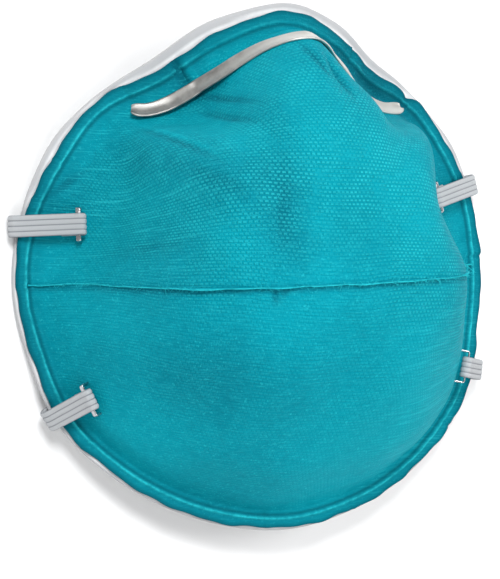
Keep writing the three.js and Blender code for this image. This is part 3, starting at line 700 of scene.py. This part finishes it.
# Rows of a sheet over the cup, from the crown to the foot and then across the flat band as far as reach. The
# share is of the way to the foot, and past is how far beyond the foot in millimetres
def cupSheet(angles, domeRows, bandRows, reach):
    turns = np.linspace(0, 1, domeRows + 1)[1:, None]
    beyond = np.linspace(0, 1, bandRows + 1)[1:, None] * reach
    sheet = np.concatenate([coverPoint(angles, turns, 0.0), coverPoint(angles, 1.0, beyond)])
    pole = coverPoint(np.zeros(1), 0.0, 0.0)[0]
    share = np.concatenate([turns * np.ones_like(angles), np.ones_like(beyond)])
    past = np.concatenate([np.zeros((domeRows, len(angles))), beyond])
    return sheet, pole, sheetNormals(sheet, pole), share, past


# The cover's thickness, thinner on the flat band
def wallAt(share):
    return np.where(share < 0.97, cup["coverWall"], cup["flangeWall"])


# Creases across the flat band: bell curves along the rim, each a groove with a lower ridge on one side of it
def pinchAt(angle):
    total = np.zeros_like(angle)
    for degrees in coverSheet["pinches"]:
        away = turnFrom(angle, degrees) * cup["halfWidth"] / coverSheet["pinchWidth"]
        total += 0.45 * np.exp(-(away - 1.7) ** 2) - np.exp(-away * away)
    return total * coverSheet["pinchDepth"]


# Depth of the sharp folds in millimetres: turned bell curves, each times its depth
def creaseAt(x, y):
    total = np.zeros_like(x)
    for across, up, long, wide, turn, depth in creases:
        total += depth * turnedBell(x - across, y - up, long, wide, turn)
    return total


# The cover's attributes: emboss is the highest of its zones' bell curves; tone is painted light and shade, a
# half and the sum of its zones' less the folds and less a painted shadow under the seam; and the band's shade
# grows from the weld line to the edge, with painted shade in the trench, at the dome's foot and in the hollow
# beside it
def coverValues(sheet, angles, share, past, reach, weld, trench, cut):
    x, y, z = np.moveaxis(sheet, -1, 0)
    inset = cup["flangeWidth"] - coverSheet["weldInset"]
    inside = past < inset
    emboss = np.full_like(x, shades["leastEmboss"])
    for across, up, wide, strength in embossZones:
        emboss = np.maximum(emboss, strength * roundBell(x, y, across, up, wide))
    emboss = emboss * (1 - smoothStep(share, 0.9, 0.99) * shades["bandEmbossLoss"])
    toEdge = shades["band"] + shades["edge"] * smoothStep(past, reach - shades["edgeReach"], reach)
    # Painted shade on the band: in the trench by the weld line, at the dome's foot, and more where the band
    # meets the dome at the upper right
    valleyShade = shades["valleyShade"] * broadBell(angles, coverSheet["valleyShade"], coverSheet["valleyShadeReach"])
    atFoot = (shades["foot"] + valleyShade) * smoothStep(share, 0.94, 1.0) * inside
    band = smoothStep(past, inset - 0.2, inset + 0.3) * toEdge + trench * shades["trench"] + atFoot
    # Painted shade along the folds' grooves and painted light along their ridges
    tone = 0.5 - np.clip(cut, -0.5, 0.8) * shades["fold"]
    # Painted light and shade, zone by zone
    for across, up, wide, strength in paintedLightAndShade:
        tone += shades["zone"] * strength * roundBell(x, y, across, up, wide)
    # Painted shadow just under the seam's lip, on the chin side
    seamShadow = (seam["up"] - seam["lean"] * z - y) / shades["seamShadowWidth"]
    tone -= shades["seamShadow"] * np.exp(-(seamShadow - 1) ** 2) * inside
    hatch = smoothStep(x, *shades["hatchAcross"]) * smoothStep(-y, *shades["hatchDown"])
    comb = shades["hatchComb"] * hatch
    for across, up, wide, strength in combZones:
        comb += strength * roundBell(x, y, across, up, wide)
    return {
        "emboss": emboss, "band": np.clip(band, 0, 1), "tone": np.clip(tone, 0, 1), "weld": weld,
        "comb": np.clip(comb, 0, 1) * shades["comb"], "hatch": hatch * shades["hatch"],
    }


# The cover: its face from the crown to the foot, the flat band past it, and the wall's other side back again.
# The face moves along its normals by the weld line, the ripples, the pinches and the swells, less the folds
def makeCover():
    angles = np.linspace(0, 2 * np.pi, coverSheet["columns"], endpoint=False)
    notchAway = turnFrom(angles, coverSheet["notch"]) * cup["halfWidth"] / coverSheet["notchWidth"]
    reach = cup["flangeWidth"] + wander(angles, coverSheet["edge"])
    reach = reach - coverSheet["notchDepth"] * np.exp(-notchAway ** 2)
    domeRows, bandRows = coverSheet["domeRows"], coverSheet["bandRows"]
    sheet, pole, normals, share, past = cupSheet(angles, domeRows, bandRows, reach)
    x, y = sheet[..., 0], sheet[..., 1]
    fromWeld = past - cup["flangeWidth"] + coverSheet["weldInset"]
    folded = broadBell(angles, coverSheet["noseFold"], coverSheet["noseFoldReach"])
    held = 1 - coverSheet["noseFoldLoss"] * folded + wander(angles, coverSheet["hold"])
    weld = np.exp(-(fromWeld / coverSheet["weldWidth"]) ** 2) * (past > 0) * held
    trench = np.exp(-((fromWeld + coverSheet["trenchAway"]) / coverSheet["trenchWidth"]) ** 2) * (past > 0)
    waves = np.sin(0.11 * x + 0.07 * y + 1.1) * np.sin(0.09 * y - 0.05 * x)
    waves += 0.5 * np.sin(0.21 * x - 0.17 * y)
    cut = creaseAt(x, y)
    rise = weld * coverSheet["weldHeight"] - trench * coverSheet["trench"] - cut
    rise += wander(angles, coverSheet["ripple"]) * smoothStep(share, 0.80, 1.0)
    rise += pinchAt(angles) * smoothStep(share, 0.93, 1.0) * (0.35 + 0.65 * smoothStep(past, 0, 1.5))
    rise += coverSheet["swell"] * waves * smoothStep(share, 0.05, 0.3) * (1 - smoothStep(share, 0.85, 1.0))
    outer = sheet + normals * rise[..., None]
    edge = outer[-1:] + (outer[-1:] - outer[-2:-1]) * 0.6 - normals[-1:] * cup["flangeWall"] * 0.5
    # The wall's other side takes fewer rows
    back = np.arange(len(sheet) - 1, 0, -1)
    kept = [back[:bandRows:coverSheet["hiddenBandStep"]], back[bandRows::coverSheet["hiddenStep"]]]
    kept = np.concatenate(kept)
    inner = (sheet - normals * wallAt(share)[..., None])[kept]
    rows = np.concatenate([outer, edge, inner])
    # The UV map: each point as far from the middle as the way to it over the face, in its own direction
    fromPole = np.concatenate([np.broadcast_to(pole, sheet[:1].shape), outer])
    length = np.cumsum(np.linalg.norm(np.diff(fromPole, axis=0), axis=-1), axis=0)
    lengths = np.concatenate([length, length[-1:], length[kept]])
    flat = np.stack([lengths * np.cos(angles), lengths * np.sin(angles)], -1)

    # One value a point, in the same order as the points: pole, face, edge, other side, pole
    def everyPoint(grid):
        rowValues = np.concatenate([grid, grid[-1:], grid[kept]])
        return np.concatenate([grid[0, :1], rowValues.ravel(), grid[0, :1]])

    values = coverValues(sheet, angles, share, past, reach, weld, trench, cut)
    values = {key: everyPoint(grid) for key, grid in values.items()}
    points = np.concatenate([[pole], rows.reshape(-1, 3), [pole - (0, 0, cup["coverWall"])]])
    uv = np.concatenate([[[0, 0]], flat.reshape(-1, 2), [[0, 0]]])
    addPiece("cover", points, shellFaces(len(rows), len(angles)), "cover", ["cover_shell"], uv, values)


makeCover()
print("cover ready")

linerSheet = {
    "columns": 360, "domeRows": 84, "bandRows": 10,
    "edge": {"seed": 11, "turns": (7, 12, 19), "most": 0.3},
    "puff": {"seed": 13, "turns": (37, 53, 79), "most": 0.12}, "outerPuff": 0.08,
}


# The inner shell: the cover's sheet one wall and one gap further in, carried on to its own edge past it, and
# puffed a little by its own ripples. The rim attribute, painted shade in grey, grows past a part of the strip
# that shows
def makeLiner():
    angles = np.linspace(0, 2 * np.pi, linerSheet["columns"], endpoint=False)
    border = borderAt(angles)
    reach = cup["flangeWidth"] + border + wander(angles, linerSheet["edge"]) * smoothStep(border, 0.4, 1.5)
    rowCounts = linerSheet["domeRows"], linerSheet["bandRows"]
    sheet, pole, normals, share, past = cupSheet(angles, *rowCounts, reach)
    depth = wallAt(share) + cup["gap"]
    puff = np.abs(wander(angles, linerSheet["puff"])) * smoothStep(share, 0.9, 1.0)
    outer = sheet - normals * (depth - np.minimum(puff, linerSheet["outerPuff"]))[..., None]
    inner = sheet - normals * (depth + cup["linerWall"] - puff)[..., None]
    edge = (outer[-1:] + inner[-1:]) / 2 + (outer[-1:] - outer[-2:-1]) * 0.45
    rows = np.concatenate([outer, edge, inner[::-1]])
    crown = pole - (0, 0, cup["coverWall"] + cup["gap"])
    points = np.concatenate([[crown], rows.reshape(-1, 3), [crown - (0, 0, cup["linerWall"])]])
    rim = smoothStep(past - cup["flangeWidth"], border * 0.4 - 0.2, border * 0.4 + 0.3)
    rim = np.concatenate([rim, rim[-1:], rim[::-1] * 0])
    rim = np.concatenate([[0], rim.ravel(), [0]])
    addPiece("liner", points, shellFaces(len(rows), len(angles)), "liner", ["inner_shell"],
             values={"rim": rim})


makeLiner()
print("liner ready")


# The seam's line: where the face meets a plane that leans to the chin, found by repeated steps
def seamPlace(x, rounds=12):
    y = np.full_like(x, seam["up"])
    for step in range(rounds):
        y = seam["up"] - seam["lean"] * faceAt(x, y)[:, 2]
    return faceAt(x, y)


# The cover cloth's attributes on the seam: no dashes and no shade, with its own tone and paleness: pale
# threads, and on the lip partly a painted highlight
def seamValues(threads, tone):
    zero = np.zeros_like(threads)
    return {**dict.fromkeys(("emboss", "band", "comb", "hatch"), zero), "weld": threads, "tone": zero + tone}


# Random values from minus 1 to 1 at evenly spaced knots along the seam, read in between on straight lines
def uneven(random, x, knots):
    spots = np.linspace(-seam["drawnOver"], seam["drawnOver"], knots)
    return np.interp(x, spots, random.uniform(-1, 1, knots))


# Its lip: a thin folded fin carried along that line, lower in the middle and at the ends, with an uneven edge
def makeSeam():
    random = np.random.default_rng(seam["seed"])
    share = np.linspace(-1, 1, seam["stations"])
    x = share * seam["span"]
    place = seamPlace(x)
    ahead = unit(np.gradient(place, axis=0))
    up = faceNormal(place[:, 0], place[:, 1])
    side = unit(np.cross(up, ahead))
    wide, high = np.array(seam["section"]).T
    fray = uneven(random, x, seam["frayKnots"]) * seam["frayHeight"]
    fray += random.uniform(-1, 1, len(x)) * seam["fuzz"]
    taper = np.abs(share) ** np.where(x < 0, seam["leftTaper"], seam["rightTaper"])
    proud = seam["proud"] * (seam["middleStand"] + (1 - seam["middleStand"]) * share ** 2)
    proud = proud * (1 - seam["taper"] * taper) * (1 + fray)
    tilt = uneven(random, x, seam["tiltKnots"]) * seam["tilt"]
    across = wide * seam["thick"] + tilt[:, None] * np.maximum(high, 0)
    points = carried(place, side, up, across, high * proud[:, None])
    # Paler towards the lip's top: partly pale frayed threads, partly a painted highlight where light falls on
    # it
    threads = np.broadcast_to(smoothStep(high, 0.3, 1.0) * 1.2, across.shape)
    addPiece("seamLip", points, bandFaces(*across.shape), "cover", None, bandMap(x, across),
             seamValues(threads, 0.5))
    makeFibres(random, place, ahead, side, up, proud)


# Loose fibres, more at the right end: three-sided threads that start on the lip and run their own way times t
# plus a bow times the square of t
def makeFibres(random, place, ahead, side, up, proud):
    count, stations = seam["fibres"], seam["fibreStations"]
    pick = np.clip((1 - np.abs(random.normal(0, 0.55, count)) % 1.9) * 0.5 + 0.5, 0.02, 0.985)
    pick[: count // 2] = random.uniform(0.03, 0.985, count // 2)
    at = (pick * (len(place) - 1)).astype(int)
    root = place[at] + up[at] * (proud[at] * random.uniform(0.5, 1.0, count))[:, None]
    way = unit(ahead[at] * random.normal(0, 1, (count, 1)) + side[at] * random.normal(-0.5, 0.7, (count, 1))
               + up[at] * random.uniform(0.0, 0.55, (count, 1)))
    bow = random.normal(0, 0.35, (count, 3))
    reach = seam["fibreLength"] * random.uniform(0.25, 1.0, (count, 1, 1))
    reach = reach * np.where(pick > 0.93, 1.5, 0.7)[:, None, None]
    t = np.linspace(0, 1, stations)[None, :, None]
    line = root[:, None] + reach * (way[:, None] * t + bow[:, None] * t ** 2)
    ring = np.array([(1, 0), (-0.5, 0.87), (-0.5, -0.87)]) * seam["fibreThick"] / 2
    level = unit(np.cross(way, up[at]))
    steep = np.cross(way, level)
    turnedRing = ring[:, :1] * level[:, None, None] + ring[:, 1:] * steep[:, None, None]
    tube = line[:, :, None] + (1 - 0.6 * t)[..., None] * turnedRing
    block = stations * len(ring)
    oneFibre = bandFaces(stations, len(ring))
    faces = [[index + fibre * block for index in face] for fibre in range(count) for face in oneFibre]
    addPiece("seamFibres", tube, faces, "cover", None, np.zeros((count * block, 2)),
             seamValues(np.full(count * block, 2.0), 1.0))


makeSeam()
print("seam ready")

# The nose clip: its half span, place and drop of both arms, its section, and how its ends lift and round off
clip = {
    "span": 39.5, "leftSpan": 38.0, "up": 61.6, "drop": 17.6, "leftDrop": 17.0, "bend": 36.8, "easing": 61,
    "width": 4.4, "thick": 0.8, "trough": 0.62, "tip": 0.45, "endLift": 1.1, "curl": 24, "wave": 0.05,
    "stations": 260, "columns": 17,
}


# The strip's line on the cover: half a cosine wave from its middle down to its ends
def clipPlace(across):
    swing = (1 - np.cos(np.pi * np.minimum(np.abs(across / clip["bend"]), 1))) / 2
    drop = np.where(across < 0, clip["leftDrop"], clip["drop"])
    return faceAt(across, clip["up"] - drop * swing)


# A running mean along a line, with its ends held
def eased(values, count):
    padded = np.pad(values, [(count // 2, count // 2)] + [(0, 0)] * (values.ndim - 1), mode="edge")
    sums = np.cumsum(np.concatenate([padded[:1] * 0, padded]), axis=0)
    return (sums[count:] - sums[:-count]) / count


# How far a flat piece must stand off the face to clear it: the most that the face rises under its width
def standOff(place, side, up, width, reach=(0,), ahead=0):
    most = np.zeros(len(place))
    for across in (-0.5, -0.25, 0, 0.25, 0.5):
        for forward in reach:
            spot = place + side * across * width + ahead * forward
            under = faceAt(spot[:, 0], spot[:, 1])
            most = np.maximum(most, np.sum((under - place) * up, axis=1))
    return most


# The strip: its section carried along its line, stood off the cover, round as a quarter circle at its ends.
# The section is flat below, with a shallow trough above between two rounded edges
def makeClip():
    share = np.sin(np.linspace(-1, 1, clip["stations"]) * np.pi / 2)
    across = share * np.where(share < 0, clip["leftSpan"], clip["span"])
    on = clipPlace(across)
    ahead = unit(clipPlace(across + 0.5) - clipPlace(across - 0.5))
    up = unit(eased(faceNormal(on[:, 0], on[:, 1]), clip["easing"]))
    side = unit(np.cross(up, ahead))
    stand = eased(standOff(on, side, up, clip["width"]), clip["easing"])
    fromEnd = np.minimum((1 - np.abs(share)) * clip["span"] / (clip["width"] / 2), 1)
    width = clip["width"] * (clip["tip"] + (1 - clip["tip"]) * np.sqrt(fromEnd * (2 - fromEnd)))
    rise = stand + cup["gap"] + clip["thick"] / 2 + clip["endLift"] * np.abs(share) ** clip["curl"]
    rise += clip["wave"] * np.sin(across * 0.9) * np.sin(across * 0.23 + 1)
    v = np.linspace(-0.5, 0.5, clip["columns"])
    top = 0.5 - clip["trough"] * (1 - (2 * v) ** 2) ** 1.3
    top[[0, -1]] = 0.15
    low = 0.35 * np.abs(2 * v) ** 10 - 0.25 * (1 - (2 * v) ** 2) - 0.5
    wide, high = np.concatenate([v, v[::-1]])[::-1], np.concatenate([top, low[::-1]])[::-1]
    wide = wide * width[:, None]
    points = carried(on + up * rise[:, None], side, up, wide, high[None] * clip["thick"])
    addPiece("noseClip", points, bandFaces(*wide.shape), "clip", ["nose_clip"], bandMap(across, wide))


makeClip()
print("nose clip ready")

# The elastic and its stapled end in millimetres: the tail reaches past the staple to its cut end, the fold
# goes the other way, and the press is how far the upper layer runs flat
strap = {
    "width": 5.6, "thick": 0.9, "tail": 4.6, "fold": 0.7, "press": 0.7, "ribs": 4, "groove": 0.24,
    "columns": 41, "step": 0.55, "leadIn": 2.0, "foldSteps": 10, "wrapSteps": 14, "routeStep": 4.6,
}
staple = {
    "span": 9.0, "breadth": 1.3, "wire": 0.5, "clinch": 3.0, "corner": 0.45, "cornerSteps": 5, "sides": 16,
    "squareness": 0.4,
}
strapEnds = {         # staple's place as shares of the half sizes, where the strap crosses the rim in degrees
    "upper": {"right": (0.745, 0.29, 19.8), "left": (0.768, 0.235, 14)},
    "lower": {"right": (0.75, -0.375, -24), "left": (0.782, -0.405, -28)},
}
strapRoutes = {       # the hidden stretch's way inside the cup, from the right rim to the middle
    "upper": [(0.78, 0.29), (0.70, 0.35), (0.67, 0.46), (0.58, 0.60), (0.43, 0.69), (0.28, 0.67),
              (0.14, 0.60), (0, 0.57)],
    "lower": [(0.76, -0.40), (0.65, -0.31), (0.61, -0.15), (0.59, 0.06), (0.52, 0.26), (0.37, 0.40),
              (0.18, 0.43), (0, 0.41)],
}
# Heights over the seat of the tail's middle, the staple's wire and the upper layer's middle
tailHeight = cup["gap"] + strap["thick"] / 2
wireHeight = cup["gap"] + strap["thick"] + cup["gap"] + staple["wire"] / 2
topHeight = wireHeight + staple["wire"] / 2 + cup["gap"] + strap["thick"] / 2


# Where a strap's end is stapled down and how it goes round the rim. The hub is the middle of that turn: past
# all of the rim under the strap, halfway between the band's top and the rim's underside
def anchorAt(end, hand):
    across, height, crossing = end
    face = faceAt(np.array([hand * across * cup["halfWidth"]]), np.array([height * cup["halfHeight"]]))[0]
    up = faceNormal(face[:1], face[1:2])[0]
    middle = np.radians(crossing) if hand > 0 else np.pi - np.radians(crossing)
    radius = edgeRadius(np.array([middle]))[0]
    out = unit((radius * np.array([np.cos(middle), np.sin(middle), 0]) - face) * (1, 1, 0))
    level = np.array([-out[1], out[0], 0]) * hand
    angle = middle + np.linspace(-0.5, 0.5, 9) * strap["width"] / radius
    heading = np.stack([np.cos(angle), np.sin(angle), 0 * angle], -1)
    rim = (edgeRadius(angle) + borderAt(angle))[:, None] * heading
    reach = max(0, np.max((rim - face) @ out))
    top, bottom = flangeHeight(angle).max(), rimLift(angle).min()
    wrap = (top - bottom) / 2 + cup["gap"] + strap["thick"] / 2
    hub = (face + out * reach) * (1, 1, 0) + np.array([0, 0, (top + bottom) / 2])
    run = hub - face
    run = unit(run - up * (run @ up))
    side = unit(np.cross(up, run) * hand)
    tail = (face + run * (strap["tail"] - strap["fold"]) / 2)[None]
    half = (strap["tail"] + strap["fold"]) / 2
    stand = standOff(tail, side[None], up[None], strap["width"], (-half, 0, half), run[None])[0]
    return {"seat": face + up * stand, "stand": stand, "up": up, "run": run, "side": side, "out": out,
            "level": level, "hub": hub, "wrap": wrap}


# The shown end: cut tail, a half circle over the staple, a tangent to the rim and a turn round the hub
def shownEnd(end):
    places, sides = [], []

    def onSeat(reach, height):
        return end["seat"] + end["run"] * reach + end["up"] * height

    bend = (topHeight - tailHeight) / 2
    turn = np.linspace(0, np.pi, strap["foldSteps"] + 1)
    places += [onSeat(strap["tail"] * share, tailHeight) for share in (1, 0.5, 0)]
    places += [onSeat(-strap["fold"] - bend * np.sin(t), tailHeight + bend * (1 - np.cos(t))) for t in turn]
    start = onSeat(strap["press"], topHeight)
    places.append(start)
    sides += [end["side"]] * len(places)
    toHub = end["hub"] - start
    outward = toHub @ end["out"]
    first = np.pi / 2 - np.arctan2(-toHub[2], outward) + np.arcsin(end["wrap"] / np.hypot(toHub[2], outward))
    wrapTurn = np.linspace(first, -np.pi / 2, strap["wrapSteps"] + 1)
    wrapped = [end["hub"] + end["out"] * end["wrap"] * np.cos(t) + np.array([0, 0, end["wrap"] * np.sin(t)])
               for t in wrapTurn]
    for share in (0.33, 0.66):
        places.append(start + (wrapped[0] - start) * share)
        sides.append(unit(end["side"] * (1 - share) + end["level"] * share))
    places += wrapped
    sides += [end["level"]] * len(wrapped)
    return np.array(places), np.array(sides)


# A smooth curve through points, read at even steps: Catmull-Rom, then equal lengths. It gives the points,
# where they fall among the ones put in, and the whole length
def evenCurve(points, step, fine=24):
    ends = np.concatenate([[2 * points[0] - points[1]], points, [2 * points[-1] - points[-2]]])[:, None]
    t = (np.arange(fine) / fine)[None, :, None]
    dense = curveBetween(ends[:-3], ends[1:-2], ends[2:-1], ends[3:], t)
    dense = np.concatenate([dense.reshape(-1, 3), points[-1:]])
    knots = np.arange(len(dense)) / fine
    length = np.concatenate([[0], np.cumsum(np.linalg.norm(np.diff(dense, axis=0), axis=1))])
    even = np.linspace(0, length[-1], max(int(np.ceil(length[-1] / step)), 2) + 1)
    place = np.stack([np.interp(even, length, dense[:, k]) for k in range(3)], -1)
    return place, np.interp(even, length, knots), length[-1]


# A strap: shown end, hidden stretch, shown end, as one ribbed section along one even curve. The section is
# flat with edges rounded by an eighth power, and cut in on both faces between ribs that are half sines
def makeStrap(name, rightEnd, leftEnd, lying):
    right, rightSides = shownEnd(rightEnd)
    left, leftSides = (values[::-1] for values in shownEnd(leftEnd))
    half = np.array([(x * cup["halfWidth"], y * cup["halfHeight"], lying) for x, y in strapRoutes[name]])
    mirrored = half[:-1][::-1] * (-1, 1, 1)
    lead = [right[-1] - rightEnd["out"] * strap["leadIn"], left[0] - leftEnd["out"] * strap["leadIn"]]
    way = np.concatenate([right[-1:], lead[:1], half, mirrored, lead[1:], left[:1]])
    hidden = evenCurve(way, strap["routeStep"])[0][1:-1]
    hidden[:, 2] = np.maximum(hidden[:, 2], lying)
    heading = np.gradient(np.concatenate([right[-1:], hidden, left[:1]]), axis=0)[1:-1]
    sides = np.concatenate([rightSides, unit(np.cross((0, 0, 1), heading)), leftSides])
    place, knot, length = evenCurve(np.concatenate([right, hidden, left]), strap["step"])
    place[:, 2] = np.maximum(place[:, 2], lying)
    across = np.stack([np.interp(knot, np.arange(len(sides)), sides[:, k]) for k in range(3)], -1)
    ahead = unit(np.gradient(place, axis=0))
    up = unit(np.cross(ahead, across))
    side = unit(np.cross(up, ahead))
    v = np.linspace(-0.5, 0.5, strap["columns"])
    ribs = np.abs(np.sin(np.pi * strap["ribs"] * (v + 0.5))) ** 0.6
    body = (1 - np.abs(2 * v) ** 8) ** 0.5 * (0.5 - strap["groove"] * (1 - ribs))
    wide = np.concatenate([v, v[-2:0:-1]])[None] * strap["width"]
    points = carried(place, side, up, wide, np.concatenate([-body, body[-2:0:-1]])[None] * strap["thick"])
    points[..., 2] = np.maximum(points[..., 2], lying - strap["thick"] / 2)
    flat = bandMap(np.linspace(0, length, len(place)), wide)
    rib = np.broadcast_to(np.concatenate([ribs, ribs[-2:0:-1]]), flat.shape[:2])
    addPiece(f"{name}Strap", points, bandFaces(*rib.shape), "elastic", [f"{name}_strap"], flat, {"rib": rib})
    print(f"{name} strap is {length:.0f} mm long")


# A staple: flat wire carried over the tail, down both legs and in behind the inner shell. Its section is a
# circle whose cosine and sine are taken to a low power, which makes it nearly square
def makeStaple(name, end):
    half = staple["span"] / 2 - staple["wire"] / 2
    deep = -(end["stand"] + cup["coverWall"] + cup["gap"] + cup["linerWall"] + cup["gap"]
             + (staple["span"] / 2) ** 2 / cup["halfWidth"] + staple["wire"] / 2)
    c = staple["corner"]
    turn = np.linspace(0, np.pi / 2, staple["cornerSteps"] + 1)
    corner = np.stack([half - c + c * np.sin(turn), wireHeight - c + c * np.cos(turn)], -1)
    foot = np.stack([half - c + c * np.cos(turn), deep + c - c * np.sin(turn)], -1)
    rightSide = np.concatenate([[(0, wireHeight)], corner, foot, [(half - staple["clinch"], deep)]])
    path = np.concatenate([rightSide[::-1] * (-1, 1), rightSide[1:]])
    place = end["seat"] + path[:, :1] * np.cross(end["up"], end["run"]) + path[:, 1:] * end["up"]
    side = np.broadcast_to(end["run"], place.shape)
    up = unit(np.cross(unit(np.gradient(place, axis=0)), side))
    turns = np.linspace(0, 2 * np.pi, staple["sides"], endpoint=False)
    wide, high = (np.sign(wave) * np.abs(wave) ** staple["squareness"] / 2
                  for wave in (np.cos(turns), np.sin(turns)))
    points = carried(place, side, up, wide[None] * staple["breadth"], high[None] * staple["wire"])
    addPiece(f"staple{name}", points, bandFaces(len(place), len(turns)), "staple", [f"staple_{name}"])


anchors = {(name, hand): anchorAt(strapEnds[name][hand], 1 if hand == "right" else -1)
           for name in strapEnds for hand in ("right", "left")}
lowest = min(end["hub"][2] - end["wrap"] - strap["thick"] / 2 for end in anchors.values())
lying = min(lowest, 0) + strap["thick"] / 2      # height of the straps' middle where they lie on the surface
for name in strapEnds:
    makeStrap(name, anchors[name, "right"], anchors[name, "left"], lying)
for (name, hand), end in anchors.items():
    makeStaple(f"{name}_{hand}", end)
print("straps and staples ready")
